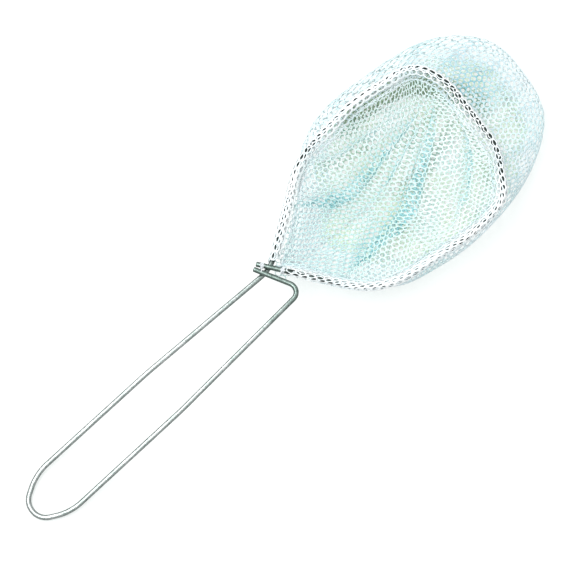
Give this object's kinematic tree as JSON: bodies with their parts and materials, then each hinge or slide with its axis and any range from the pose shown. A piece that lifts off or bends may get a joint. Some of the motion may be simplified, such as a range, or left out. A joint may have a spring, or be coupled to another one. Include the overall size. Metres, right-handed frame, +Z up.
{
  "type": "minnow dip net",
  "caption": "Small hand dip net: bent galvanised wire handle loop and hoop with a knitted mesh bag hemmed round the hoop, lying flat with the bag slumped forward.",
  "frame": {"origin": "on the surface that the net lies on, under the middle of its bounding box", "axes": "+X from the handle's closed end to the hoop, +Z up out of the bag's mouth, +Y completes the right-handed set"},
  "size_m": [0.4072, 0.13, 0.0385],
  "materials": {
    "galvanised_wire": "dull galvanised round wire with greenish grey spangle, drawn along its length",
    "knitted_mesh": "white knitted mesh cloth of small six-sided holes with a cool tint, hem of two layers",
    "sewing_thread": "white twisted sewing thread"
  },
  "bodies": {
    "root": {"wire_frame": "galvanised_wire", "net_bag": "knitted_mesh", "hem_stitching": "sewing_thread", "seam_stitching": "sewing_thread", "throat_tie_left": "sewing_thread", "throat_tie_right": "sewing_thread"}
  },
  "joints": []
}
